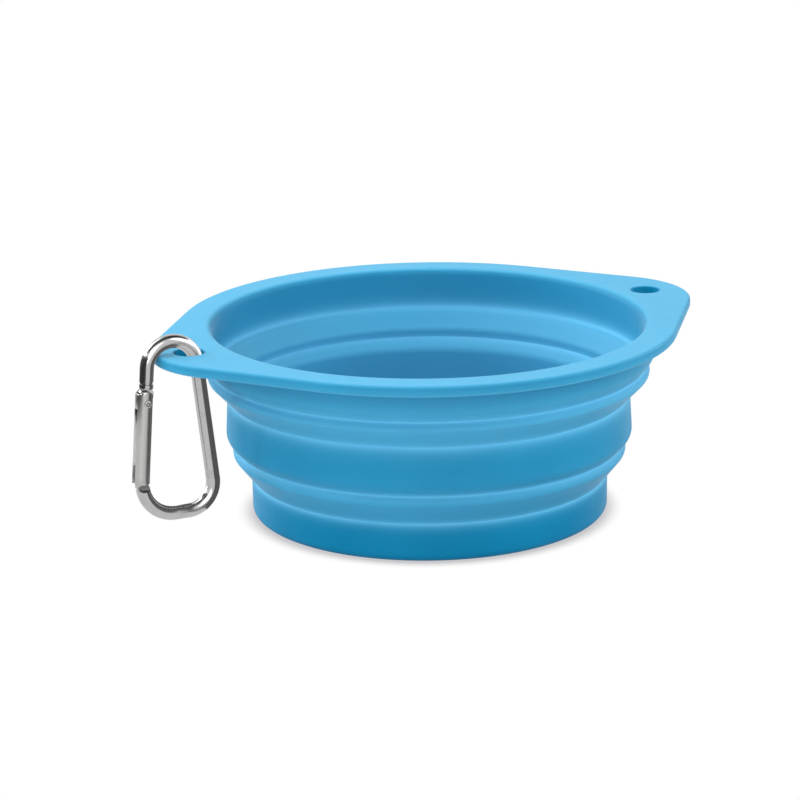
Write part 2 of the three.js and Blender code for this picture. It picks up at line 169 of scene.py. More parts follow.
def pieceFrom(name, mesh, material, sharp=40):
    # One object from a closed mesh
    mesh.name = name
    mesh.materials.append(material)
    piece = bpy.data.objects.new(name, mesh)
    scene.collection.objects.link(piece)
    return smoothed(piece, sharp)


def applied(piece):
    # The piece's mesh with its modifiers worked in
    deps = bpy.context.evaluated_depsgraph_get()
    made = bpy.data.meshes.new_from_object(piece.evaluated_get(deps))
    piece.modifiers.clear()
    piece.data = made
    return piece


def cleaned(piece, near=2e-6):
    # Merges points that lie closer in metres than a cut's own error and drops the slivers between them
    work = bmesh.new()
    work.from_mesh(piece.data)
    bmesh.ops.remove_doubles(work, verts=work.verts, dist=near)
    bmesh.ops.dissolve_degenerate(work, dist=near, edges=work.edges)
    work.to_mesh(piece.data)
    work.free()
    return piece


def carve(piece, tools, operation="DIFFERENCE"):
    # Cuts the piece by closed meshes, or joins them to it, one boolean each
    for mesh in tools:
        tool = bpy.data.objects.new("tool", mesh)
        scene.collection.objects.link(tool)
        cut = piece.modifiers.new("cut", "BOOLEAN")
        cut.object, cut.operation, cut.solver = tool, operation, "EXACT"
        bpy.context.view_layer.update()
        applied(piece)
        bpy.data.objects.remove(tool)
    return piece


def blockShell(low, high, place):
    # A plain box between two corners, used as a cutter only
    corners = np.array([low, high], float)
    ring = np.array([[0, 0], [1, 0], [1, 1], [0, 1]])
    flat = np.stack([corners[ring[:, 0], 0], corners[ring[:, 1], 1]], axis=-1)
    walls = np.stack([np.column_stack([flat, np.full(4, z)]) for z in corners[:, 2]])
    return shell([sheet(walls)], flats=(low[2], high[2]), place=place)


# Materials

class Wire:
    # A shader socket that takes part in sums: values go through Math nodes
    def __init__(self, finish, socket):
        self.finish, self.socket = finish, socket

    def maths(self, operation, first, second):
        return self.finish.node("ShaderNodeMath", {"operation": operation}, {0: first, 1: second})

    def __add__(self, other):
        return self.maths("ADD", self, other)

    def __radd__(self, other):
        return self.maths("ADD", other, self)

    def __sub__(self, other):
        return self.maths("SUBTRACT", self, other)

    def __rsub__(self, other):
        return self.maths("SUBTRACT", other, self)

    def __mul__(self, other):
        return self.maths("MULTIPLY", self, other)

    def __rmul__(self, other):
        return self.maths("MULTIPLY", other, self)


class Finish:
    # A node tree under construction: node() makes any node from its type, its settings and its sockets
    def __init__(self, owner):
        owner.use_nodes = True
        self.tree = owner.node_tree
        self.tree.nodes.clear()

    def node(self, kind, settings=None, sockets=None, output=0):
        made = self.tree.nodes.new(kind)
        for key, value in (settings or {}).items():
            setattr(made, key, value)
        for key, value in (sockets or {}).items():
            if isinstance(value, Wire):
                self.tree.links.new(value.socket, made.inputs[key])
            else:
                made.inputs[key].default_value = value
        return Wire(self, made.outputs[output]) if made.outputs else made

    def blend(self, share, first, second):
        # A colour between two others
        return self.node("ShaderNodeMix", {"data_type": "RGBA"}, {0: share, 6: first, 7: second}, output=2)

    def noise(self, where, scale, detail, rough):
        # A soft random value
        sockets = {"Vector": where, "Scale": scale, "Detail": detail, "Roughness": rough}
        return self.node("ShaderNodeTexNoise", None, sockets)

    def spread(self, value, low, high):
        # A smooth step from 0 at low to 1 at high
        limits = {"Value": value, "From Min": low, "From Max": high}
        return self.node("ShaderNodeMapRange", {"interpolation_type": "SMOOTHSTEP"}, limits)


def linear(red, green, blue):
    # Linear light from an sRGB colour of 0 to 255
    c = np.array([red, green, blue]) / 255
    return (*np.where(c <= 0.04045, c / 12.92, ((c + 0.055) / 1.055) ** 2.4).tolist(), 1.0)


siliconeLook = {
    # The third colour is the pale one of painted light: a painted glow at the hinge lines and on faces
    # turned up
    "deep": (6, 118, 159), "light": (12, 124, 165), "thin": (110, 196, 234),  # sRGB
    "roughness": 0.45, "smudge": 0.06, "gloss": 0.1, "ior": 1.41,
    "clouds": (38, 4.0, 0.55), "cloudRange": (0.3, 0.7),  # a noise: cells in a metre, detail, roughness
    "smudges": (130, 5.0, 0.6), "smudgeRange": (0.35, 0.75),
    "grain": (2600, 2.0, 0.5), "grainBump": (0.06, 0.00008),  # strength, depth in metres
}


def makeSilicone(look):
    # Satin moulded silicone: a pale colour painted in as light, a painted glow at the hinge lines and
    # painted light on faces turned up, faint clouds, handling smudges, a fine moulded grain
    material = bpy.data.materials.new("skyBlueSilicone")
    f = Finish(material)
    where = f.node("ShaderNodeTexCoord", output=3)
    clouds = f.spread(f.noise(where, *look["clouds"]), *look["cloudRange"])
    smudges = f.spread(f.noise(where, *look["smudges"]), *look["smudgeRange"])
    grain = f.noise(where, *look["grain"])
    thin = f.node("ShaderNodeAttribute", {"attribute_name": "thin"}, output=2)
    body = f.blend(clouds, linear(*look["deep"]), linear(*look["light"]))
    colour = f.blend(thin, body, linear(*look["thin"]))
    strength, depth = look["grainBump"]
    bump = f.node("ShaderNodeBump", None, {"Strength": strength, "Distance": depth, "Height": grain})
    surface = f.node("ShaderNodeBsdfPrincipled", None, {
        "Base Color": colour,
        "Roughness": smudges * look["smudge"] + (look["roughness"] - look["smudge"] / 2),
        "IOR": look["ior"],
        "Specular IOR Level": look["gloss"],
        "Normal": bump,
    })
    f.node("ShaderNodeOutputMaterial", None, {"Surface": surface})
    return material


metalLook = {
    "polishedAluminium": {"colour": (184, 184, 184), "roughness": 0.16, "streaks": 0.08, "bump": 0.02},
    "satinAluminium": {"colour": (178, 178, 176), "roughness": 0.30, "streaks": 0.16, "bump": 0.10},
    "brightSteel": {"colour": (186, 186, 184), "roughness": 0.22, "streaks": 0.10, "bump": 0.05},
}
metalWear = {
    "lines": (1.0, 3.0, 0.6), "lineDepth": 0.00003,
    "lineScale": (0.05, 9.0),  # for a millimetre along the metal, and for the circle round it
    "marks": (420.0, 4.0, 0.6), "markRange": (0.4, 0.75),
    "markShare": 0.7, "markShade": 0.86, "markDull": 0.05,
    # Share of the colour left as painted shade on milled faces and in recesses, and their added roughness
    "paintedShade": 0.3, "milledDull": 0.25,
}


def makeMetal(name, look, wear):
    # Drawn metal: fine lines along the length, read from the piece's own attribute, soft handling marks, and
    # a duller finish with painted shade, a darker colour, where a second attribute marks milled faces and
    # recesses
    material = bpy.data.materials.new(name)
    f = Finish(material)
    where = f.node("ShaderNodeTexCoord", output=3)
    along = f.node("ShaderNodeAttribute", {"attribute_name": "drawn"}, output=1)
    milledAndShaded = f.node("ShaderNodeAttribute", {"attribute_name": "milledAndShaded"}, output=2)
    lines = f.noise(along, *wear["lines"])
    marks = f.spread(f.noise(where, *wear["marks"]), *wear["markRange"])
    clean = linear(*look["colour"])
    worn = tuple(part * wear["markShade"] for part in clean[:3]) + (1.0,)
    shadedColour = tuple(part * wear["paintedShade"] for part in clean[:3]) + (1.0,)
    rough = lines * look["streaks"] + marks * wear["markDull"] + milledAndShaded * wear["milledDull"]
    bump = f.node("ShaderNodeBump", None, {
        "Strength": look["bump"],
        "Distance": wear["lineDepth"],
        "Height": lines,
    })
    surface = f.node("ShaderNodeBsdfPrincipled", None, {
        "Base Color": f.blend(milledAndShaded, f.blend(marks * wear["markShare"], clean, worn), shadedColour),
        "Metallic": 1.0,
        "Roughness": rough + (look["roughness"] - look["streaks"] / 2),
        "Normal": bump,
    })
    f.node("ShaderNodeOutputMaterial", None, {"Surface": surface})
    return material


def markDrawn(piece, along, around):
    # Stores on each point how far along and round the drawn rod it lies, so that the lines follow the metal
    perLength, perTurn = metalWear["lineScale"]
    data = np.stack([along * perLength, np.cos(around) * perTurn, np.sin(around) * perTurn], axis=-1)
    drawn = piece.data.attributes.new("drawn", "FLOAT_VECTOR", "POINT")
    drawn.data.foreach_set("vector", data.astype(np.float32).ravel())


def markMilledAndShaded(piece, where):
    # Stores 1 on the points of milled faces and recesses, which get a duller finish and painted shade, and 0
    # on all others
    milledAndShaded = piece.data.attributes.new("milledAndShaded", "FLOAT", "POINT")
    milledAndShaded.data.foreach_set("value", where.astype(np.float32))


def pointsOf(piece):
    # The piece's points in millimetres
    flat = np.empty(len(piece.data.vertices) * 3)
    piece.data.vertices.foreach_get("co", flat)
    return flat.reshape(-1, 3) / mm


def markPaintedLight(piece, width, outside, inside, upward):
    # Stores a share of painted light: a painted glow of hingePeak at a hinge corner, falling as
    # exp(-distance / width) to the face's own painted level, which its normal blends from those of outer,
    # inner and upward faces
    points = pointsOf(piece)
    normals = np.empty(len(points) * 3)
    piece.data.vertices.foreach_get("normal", normals)
    normals = normals.reshape(-1, 3)
    reach = np.hypot(points[:, 0], points[:, 1])
    outward = np.sum(normals[:, :2] * points[:, :2], axis=1) / np.maximum(reach, 0.1)
    level = inside + (outside - inside) * np.clip(outward + 0.5, 0, 1)
    # Faces turned up get the upward level: painted light from above
    rising = np.clip((normals[:, 2] - 0.6) / 0.35, 0, 1)  # 0 for faces up to 37 degrees from upright
    level = level + (upward - level) * rising
    corners = np.array(list(hinges.values())).reshape(-1, 2)
    section = np.stack([reach, points[:, 2]], axis=-1)
    away = np.min(np.linalg.norm(section[:, None] - corners[None], axis=2), axis=1)
    thin = level + (hingePeak - level) * np.exp(-away / width)
    piece.data.attributes.new("thin", "FLOAT", "POINT").data.foreach_set("value", thin)


def markFlange(piece, s):
    # Changes that painted light on the flange's side: a painted glow of exp(-height / glowHeight) over its
    # lower edge, painted shade of sideFade all over, and none in the ears' holes, whose walls are left in
    # painted shade
    points = pointsOf(piece)
    thin = np.empty(len(points))
    stored = piece.data.attributes["thin"].data
    stored.foreach_get("value", thin)
    height = points[:, 2] - s["underside"]
    reach = np.hypot(points[:, 0], points[:, 1])
    side = (reach > s["flange"] - s["footRound"] - s["slack"]) & (height < s["sideTop"])
    thin = thin + side * (s["glow"] * np.exp(-height / s["glowHeight"]) - s["sideFade"])
    holeX = np.where(points[:, 0] > 0, s["holeCentre"], -s["leftHole"])
    toHole = np.hypot(points[:, 0] - holeX, points[:, 1])
    stored.foreach_set("value", np.where(toHole < s["hole"] + s["slack"], 0, thin))


silicone = makeSilicone(siliconeLook)
metals = {name: makeMetal(name, look, metalWear) for name, look in metalLook.items()}
print("materials made")


# Bowl: hinge corners as (outer, inner), from the rim down
hinges = {
    "underRim": ((58.3, 40.6), (57.4, 41.5)),
    "overMiddle": ((54.0, 32.7), (53.1, 33.6)),
    "underMiddle": ((52.2, 19.1), (51.3, 20.0)),
    "overBase": ((47.95, 10.4), (47.05, 11.3)),
}

rimSizes = {
    "top": 52.4, "underside": 49.4, "mouth": 58.0, "mouthRound": 1.8,
    "band": 60.9, "heelRise": 3.0, "heelRound": 3.8, "bandFillet": 1.5,
    "flange": 66.9, "edgeRound": 0.8, "footRound": 0.9, "earTip": 78.0, "earRadius": 24.6,
    "hole": 4.0, "holeRound": 0.5, "holeFootRound": 0.6, "holeCentre": 67.6, "leftHole": 68.9,
    "support": 0.4, "lip": 0.05,  # flat runs past a rounded edge
    "step": 0.6, "segments": 256, "outlineSteps": 480, "holeSegments": 72,
    "sideTop": 2.3, "glow": 0.42, "glowHeight": 0.6, "sideFade": 0.1, "slack": 0.1,  # its side's painted light and painted shade
}


def flangeOutline(s):
    # A circle and a smaller ear circle at each end, joined by the straights that touch both: reach by angle
    a = np.linspace(0, 2 * np.pi, s["outlineSteps"], endpoint=False)
    centre = s["earTip"] - s["earRadius"]
    touch = math.acos((s["flange"] - s["earRadius"]) / centre)
    earEnd = math.atan2(s["earRadius"] * math.sin(touch), centre + s["earRadius"] * math.cos(touch))
    turn = np.arccos(np.abs(np.cos(a)))
    straight = s["flange"] / np.cos(touch - turn)
    chord = np.sqrt(np.maximum(s["earRadius"] ** 2 - (centre * np.sin(turn)) ** 2, 0))
    ear = centre * np.cos(turn) + chord
    reach = np.select([turn > touch, turn > earEnd], [s["flange"] + 0 * a, straight], ear)
    return np.stack([reach * np.cos(a), reach * np.sin(a)], axis=-1)


def makeRim(s):
    # Band turned about Z, flange edge carried round the eared outline, a hole in each ear, flat faces filled
    outer, inner = hinges["underRim"]
    top, foot, extra, lip = s["top"], s["underside"], s["support"], s["lip"]
    band = roundedLine([
        (s["mouth"] + s["mouthRound"] + extra, top, 0), (s["mouth"], top, s["mouthRound"]),
        (*inner, 0), (*outer, 0), (s["band"], outer[1] + s["heelRise"], s["heelRound"]),
        (s["band"], foot, s["bandFillet"]), (s["band"] + s["bandFillet"] + lip, foot, 0)])
    edge = roundedLine([
        (s["edgeRound"] + extra, top, 0), (0, top, s["edgeRound"]),
        (0, foot, s["footRound"]), (s["footRound"] + extra, foot, 0)])
    hole = roundedLine([
        (s["hole"] + s["holeRound"] + extra, top, 0), (s["hole"], top, s["holeRound"]),
        (s["hole"], foot, s["holeFootRound"]), (s["hole"] + s["holeFootRound"] + lip, foot, 0)])
    sheets = [sheet(lathe(evenLine(band, s["step"]), s["segments"]))]
    sheets.append(sheet(edgeStrip(flangeOutline(s), edge)))
    for x in (s["holeCentre"], -s["leftHole"]):
        sheets.append(sheet(lathe(hole, s["holeSegments"]) + np.array([x, 0, 0])))
    return pieceFrom("rim_skin", shell(sheets, flats=(top, foot)), silicone)


foldSizes = {
    "bulge": (1.4, -1.7), "bulgeRound": 1.6, "innerBulge": (0.3, -2.3), "innerRound": 2.0, "notchRound": 0.4,
    "ledge": 1.15, "ledgeRise": 0.6, "ledgeDrop": 0.55, "ledgeEdge": 0.8, "ledgeRound": 1.3,
    "heel": (2.6, 2.95), "endRun": 1.0, "footTuck": (0.5, -0.2), "topRun": 0.7, "topTuck": (0.6, 0.6),
    "tuck": 0.35, "proud": 0.012, "step": 0.45, "segments": 240,
}


def makeFold(name, top, foot, wallLean, s):
    # A closed section turned about Z: a bulge beside the notch at each hinge line, its ends in the bands
    topOuter, topInner = np.array(top)
    footOuter, footInner = np.array(foot)
    bulge, innerBulge = np.array(s["bulge"]), np.array(s["innerBulge"])
    heel = unit(np.array(s["heel"]))
    endRun = heel * s["endRun"]
    proud = s["proud"] * np.array([heel[1], -heel[0]])
    inwards = np.array([s["proud"], 0])
    lift = np.array([wallLean, 1.0])
    webway = unit(footOuter - topOuter - bulge)
    ledge = topInner + np.array([-s["ledge"], -s["ledgeRise"] - s["ledgeDrop"]])
    crease = topInner - s["ledgeDrop"] * lift
    corners = [
        (*(topOuter + endRun + proud), 0), (*(topOuter + proud), s["notchRound"]),
        (*(topOuter + bulge), s["bulgeRound"]), (*footOuter, 0), (*(footOuter + webway * s["tuck"]), 0),
        (*(footInner - endRun + s["footTuck"]), 0), (*(footInner - endRun - proud), 0),
        (*(footInner - proud), s["notchRound"]), (*(footInner - innerBulge), s["innerRound"]),
        (*ledge, s["ledgeEdge"]), (*(crease - inwards), s["ledgeRound"]),
        (*(topInner + lift * s["topRun"] - inwards), 0), (*(topInner + s["topTuck"]), 0)]
    line = evenLine(roundedLine(corners + corners[:1]), s["step"])[:-1]
    return pieceFrom(name, shell([sheet(lathe(line, s["segments"]), wrapRows=True)]), silicone)


middleSizes = {
    "outer": (54.86, 21.7), "inner": (50.5, 30.8), "heelRound": 3.0,
    "shoulder": 25.0, "lean": 3.5, "shoulderRound": 4.0,  # tilts of the shoulder and the wall in degrees
    "step": 0.6, "segments": 240,
}


def shoulderCorner(start, s):
    # Corner of the run that leaves a band's top edge at the shoulder's tilt and rounds into the leaning wall
    reach = s["shoulderRound"] * math.tan(math.radians(s["shoulder"] - s["lean"]) / 2)
    tilt = math.radians(s["shoulder"])
    return (start[0] + reach * math.sin(tilt), start[1] - reach * math.cos(tilt), s["shoulderRound"])


def makeMiddle(s):
    # A ring turned about Z: rounded shoulder and drawn-in heel outside, the same turned half round inside
    (topOuter, topInner), (footOuter, footInner) = hinges["overMiddle"], hinges["underMiddle"]
    corners = [
        topInner + (0,), topOuter + (0,), shoulderCorner(topOuter, s), s["outer"] + (s["heelRound"],),
        footOuter + (0,), footInner + (0,), s["inner"] + (s["heelRound"],)]
    line = evenLine(roundedLine(corners + corners[:1]), s["step"])[:-1]
    return pieceFrom("middle_skin", shell([sheet(lathe(line, s["segments"]), wrapRows=True)]), silicone)


baseSizes = {
    "outer": 48.17, "edgeRound": 2.1, "floor": 2.5, "floorFillet": 2.2, "inner": (44.6, 8.4),
    "heelRound": 3.4, "shoulder": 22.0, "lean": 0.0, "shoulderRound": 4.0,
    "step": 0.6, "segments": 240,
}


def makeBase(s):
    # A cup turned about Z: out from the middle of its underside, up, over the shoulder and along the floor
    outer, inner = hinges["overBase"]
    corners = [
        (0, 0, 0), (s["outer"], 0, s["edgeRound"]), shoulderCorner(outer, s), outer + (0,), inner + (0,),
        s["inner"] + (s["heelRound"],), (s["inner"][0], s["floor"], s["floorFillet"]), (0, s["floor"], 0)]
    line = evenLine(roundedLine(corners), s["step"])
    return pieceFrom("base_skin", shell([sheet(lathe(line, s["segments"]))]), silicone)


wallLeans = {"rim": 0.0625, "middle": -0.074}  # outward run of a band's inner wall for each unit of rise
upperBulge = {"bulge": (1.65, -1.7), "bulgeRound": 1.2}
rim = makeRim(rimSizes)
upperFold = makeFold("upper_fold_skin", hinges["underRim"], hinges["overMiddle"], wallLeans["rim"],
                     {**foldSizes, **upperBulge})
middle = makeMiddle(middleSizes)
lowerFold = makeFold("lower_fold_skin", hinges["underMiddle"], hinges["overBase"], wallLeans["middle"],
                     foldSizes)
base = makeBase(baseSizes)
hingePeak = 0.78  # share of the pale colour painted at a hinge corner as a glow
thinness = {  # width of the painted glow at the hinge lines in mm, then the painted light levels of outer, inner and upward faces
    rim: (1.4, 0.22, 0.13, 0.53),
    upperFold: (0.8, 0.35, 0.40, 0.40),
    middle: (1.2, 0.08, 0.42, 0.18),
    lowerFold: (0.8, 0.25, 0.25, 0.25),
    base: (0.9, 0.0, 0.28, 0.18),
}
for piece, levels in thinness.items():
    markPaintedLight(piece, *levels)
markFlange(rim, rimSizes)
print("bowl made")


# Carabiner: the rod's line is worked out from its three round corners, in (x, z) from the swing axis
hang = np.array([-73.9, 0.0, 49.0])
rodSizes = {
    "diameter": 3.7, "bend": 6.8975, "height": 50.0, "spineReach": 12.25, "spineCorner": 7.2,
    "gateReach": 11.2, "gateCorner": 9.0, "hingeDistance": 9.0, "rodEnd": 3.6, "endRound": 0.3,
    "collar": (1.0, 1.5, 0.22), "collarEdge": 0.05,  # groove ring from, to, and its depth
    "shoulderRound": 1.1, "cove": 1.7, "coveGap": 0.04, "coveReach": (-3, 4), "coveSlack": 0.02,
    "step": 0.6, "sides": 48,
}


def tangentAngle(upper, lower, side):
    # Outward normal's angle for the straight that touches two round corners (x, z, radius), upper one first
    across = np.subtract(lower[:2], upper[:2])
    widening = math.asin((lower[2] - upper[2]) / np.linalg.norm(across))
    tilt = math.atan2(side * across[0], -across[1]) + widening
    return tilt if side > 0 else math.pi - tilt


def arcPoints(corner, first, last, count=40):
    # Points on a round corner from one angle to another
    a = np.linspace(first, last, count)
    return np.stack([corner[0] + corner[2] * np.cos(a), corner[1] + corner[2] * np.sin(a)], axis=-1)


def layOut(s):
    # The rod's corners and straights, and the gate's frame: origin on the rivet, x inwards, z up the gate
    r = s["diameter"] / 2
    foot = s["bend"] + s["diameter"] - s["height"]
    bend = (0.0, 0.0, s["bend"])
    spine = (s["spineReach"] - r - s["spineCorner"], foot + s["spineCorner"], s["spineCorner"])
    gate = (s["gateCorner"] + r - s["gateReach"], foot + s["gateCorner"], s["gateCorner"])
    spineAngle, gateAngle = tangentAngle(bend, spine, 1), tangentAngle(bend, gate, -1)
    lineTop, lineFoot = arcPoints(bend, gateAngle, 0)[0], arcPoints(gate, gateAngle, 0)[0]
    down = unit(lineFoot - lineTop)
    tilt = math.pi - gateAngle
    spare = (2 * gateSizes["endGap"] + s["shoulderRound"]) / s["gateCorner"]  # angle left under the gate
    arcs = [arcPoints(bend, gateAngle, spineAngle), arcPoints(spine, spineAngle, -math.pi / 2),
            arcPoints(gate, -math.pi / 2, gateAngle - 2 * math.pi + spare)]
    outwards = np.array([math.cos(gateAngle), math.sin(gateAngle)])
    rivet = lineTop + down * s["hingeDistance"] + outwards * gateSizes["rodLine"]
    place = Matrix.Translation(Vector(hang + [rivet[0], 0, rivet[1]])) @ Matrix.Rotation(tilt, 4, "Y")
    gateFoot = s["hingeDistance"] - np.linalg.norm(lineFoot - lineTop) - gateSizes["endGap"]
    return {"arcs": arcs, "down": down, "lineTop": lineTop, "place": place, "gateFoot": gateFoot}


gateSizes = {
    "radius": 2.3, "tube": -0.2, "rodLine": 0.25, "endGap": 0.4, "top": 3.2, "footRound": 0.2,
    "slot": 2.0, "wall": 0.6, "slotFloor": -2.478, "window": (-3.8, -1.5),
    "noseSlot": 5.3, "noseSlotInner": 1.15, "bore": (0.55, 1.1), "boreFloor": 1.2, "rivetHole": 0.75,
    "bevel": 0.09, "bevelFrom": 38, "skin": 0.2, "step": 2.0, "segments": 72,
    "margin": 1.0, "far": 4.6, "through": 5.0, "boreSegments": 40,  # reach and fineness of the cutters
    "domeSide": 3.0, "domeStart": 2.0, "domeDepth": 8.0, "domeEdge": 0.1,
}
tongueSizes = {
    "thickness": 1.5, "radius": 1.6, "heel": (1.1, -1.2, 0.6), "arcEnd": 252, "edge": 0.1, "step": 0.3,
    "root": 1.2, "rootInset": 0.32, "neck": (2.8, 3.2),
}
noseSizes = {
    "width": 2.5, "thickness": 1.2, "pinRise": 3.6, "notch": 0.9, "tip": 0.4, "edge": 0.12, "step": 0.3,
    "tipCorners": (0.3, 0.35, 0.5), "root": 1.8, "rootInset": 0.7, "rootStart": 0.6,
}
pinSizes = {
    "rivet": 0.6, "head": 0.95, "headHeight": 0.3, "headEdge": 0.14, "seatEdge": 0.05,
    # ring: how far the painted shade reaches inside and outside the dimple's edge
    "dimple": (0.6, 0.2), "dimpleSlope": 0.1, "dimpleFoot": 0.08, "dimpleEdge": 0.05, "ring": (0.15, 0.03),
    "latch": 0.6, "latchHalf": 2.1, "latchEdge": 0.12, "gap": 0.15, "segments": 36,
}
springSizes = {
    "wire": 0.3, "radius": 0.72, "turns": 10, "turnSteps": 28, "sides": 10, "endRound": 0.05,
    "plunger": 1.2, "plungerRadius": 0.95, "plungerEdges": (0.25, 0.15),
}
plan = layOut(rodSizes)
gateFoot = plan["gateFoot"]
shoulder = gateFoot - gateSizes["endGap"]
sideways = Matrix.Rotation(math.pi / 2, 4, "X")  # turns a plate drawn in (x, y) to stand in (x, z)
lying = Matrix.Rotation(math.pi / 2, 4, "Y")


def slab(outline, thickness, edge):
    # A flat plate with rounded edges, drawn in (x, z) and centred on y = 0
    half = thickness / 2
    profile = roundedLine([(edge * 2, half, 0), (0, half, edge), (0, -half, edge), (edge * 2, -half, 0)], 5)
    return [sheet(edgeStrip(outline, profile))], (half, -half)


def plate(outline, s):
    # A slab of the given closed outline, set up in the gate's middle plane
    sheets, flats = slab(evenLine(outline, s["step"])[:-1], s["thickness"], s["edge"])
    return shell(sheets, flats, plan["place"] @ sideways)


def circlePart(x, z, radius, first, last, count=24):
    # Points of a circle round (x, z) from one angle to another, in degrees
    a = np.radians(np.linspace(first, last, count))
    return np.stack([x + radius * np.cos(a), z + radius * np.sin(a)], axis=-1)


def roundBar(radius, low, high, segments):
    # A plain round bar about Z with flat ends, used as a cutter only
    return lathe(np.array([[0, low], [radius, low], [radius, high], [0, high]], float), segments)


def inGate(points):
    # Points in millimetres turned into the gate's frame, one row for each axis
    return (np.array(plan["place"].inverted()) @ np.vstack([points.T, np.ones(len(points))]))[:3]


def rodLine(s):
    # The rod's line in space, from its hinge end over the bend and the spine to the scooped end, and the
    # length run at each of its points
    low, high, _ = s["collar"]
    start = plan["lineTop"] + plan["down"] * (s["hingeDistance"] - s["rodEnd"] - s["endRound"])
    rims = (low - s["collarEdge"], low + s["collarEdge"], high - s["collarEdge"], high + s["collarEdge"])
    neck = [start - plan["down"] * back for back in rims]
    line = evenLine(np.vstack([start, *neck, *plan["arcs"]]), s["step"])
    path = np.stack([line[:, 0] + hang[0], 0 * line[:, 0], line[:, 1] + hang[2]], axis=-1)
    return path, np.cumsum(np.r_[0, np.linalg.norm(np.diff(line, axis=0), axis=1)])


def makeTongue(s, rod):
    # A plate with a round end, a heel for the plunger and a narrower root that stays inside the rod
    rootZ, (neckFoot, neckTop) = rod["rodEnd"] + s["root"], s["neck"]
    innerX, outerX = gateSizes["rodLine"] + rod["diameter"] / 2, -s["radius"]
    innerRoot, outerRoot = innerX - s["rootInset"], outerX + s["rootInset"]
    return plate(np.vstack([
        [[outerRoot, rootZ], [outerRoot, neckTop], [outerX, neckFoot]],
        circlePart(0, 0, s["radius"], 180, s["arcEnd"]), circlePart(*s["heel"], s["arcEnd"], 360),
        [[innerX, s["radius"]], [innerX, neckFoot], [innerRoot, neckTop]],
        [[innerRoot, rootZ], [outerRoot, rootZ]],
    ]), s)


def makeNose(s, rod):
    # A blade with a round notch for the latch pin and a root that slants into the rod's end
    pinZ = gateFoot + s["pinRise"]
    tipZ, outX = pinZ + s["notch"] + s["tip"], gateSizes["rodLine"] - rod["diameter"] / 2
    inX, (tipIn, tipOut, tipDrop) = outX + s["width"], s["tipCorners"]
    root = [outX + s["rootInset"], shoulder - s["root"]]
    return plate(np.vstack([
        [root, [inX, shoulder - s["root"]], [inX, pinZ - s["notch"]]],
        circlePart(gateSizes["tube"], pinZ, s["notch"], 270, 90),
        [[inX, pinZ + s["notch"]], [inX - tipIn, tipZ], [outX + tipOut, tipZ]],
        [[outX, tipZ - tipDrop], [outX, shoulder - s["rootStart"]], root],
    ]), s)


def makeFrame(s):
    # A round rod swept along its line, scooped on each side of the nose and joined to tongue and nose
    path, run = rodLine(s)
    low, high, depth = s["collar"]
    waist = s["diameter"] / 2 - depth * ((run > low) & (run < high))
    rings = sweep(path, np.array([[0.0, 1.0, 0.0]]), waist[:, None, None], s["sides"])
    rod = shell([sheet(capped(rings, s["endRound"], s["shoulderRound"]))])
    piece = pieceFrom("carabiner_rod", rod, metals["polishedAluminium"], 35)
    coveY = noseSizes["thickness"] / 2 + s["coveGap"] + s["cove"]
    scoop = sheet(roundBar(s["cove"], *s["coveReach"], s["sides"]))
    spots = [plan["place"] @ Matrix.Translation((0, y, shoulder)) @ lying for y in (-coveY, coveY)]
    carve(piece, [shell([scoop], place=spot) for spot in spots])
    carve(piece, [makeTongue(tongueSizes, s), makeNose(noseSizes, s)], "UNION")
    smoothed(cleaned(piece))
    points = pointsOf(piece)
    nearest = np.argmin(np.linalg.norm(points[:, None, ::2] - path[None, :, ::2], axis=2), axis=1)
    along = unit(np.gradient(path, axis=0))[nearest]
    offset = points - path[nearest]
    inPlane = offset[:, 0] * -along[:, 2] + offset[:, 2] * along[:, 0]
    markDrawn(piece, run[nearest], np.arctan2(offset[:, 1], inPlane))
    x, y, z = inGate(points)
    # The scooped faces get a duller finish and painted shade
    fromScoop = np.abs(np.hypot(np.abs(y) - coveY, z - shoulder) - s["cove"])
    markMilledAndShaded(piece, (fromScoop < s["coveSlack"]) & (x < s["coveReach"][1] + 1))  # not on the spine
    return piece


def gateDome(s):
    # Outline that the gate is cut to: wider than the bar below, a half circle over the hinge
    tube, radius, crown = s["tube"], s["radius"], s["top"] - s["radius"]
    wide, low, start = s["domeSide"], gateFoot - s["margin"], crown - s["domeStart"]
    return np.vstack([
        [[tube - wide, low], [tube + wide, low], [tube + wide, crown - wide], [tube + radius, start]],
        circlePart(tube, crown, radius, 0, 180, 40),
        [[tube - radius, start], [tube - wide, crown - wide]]])


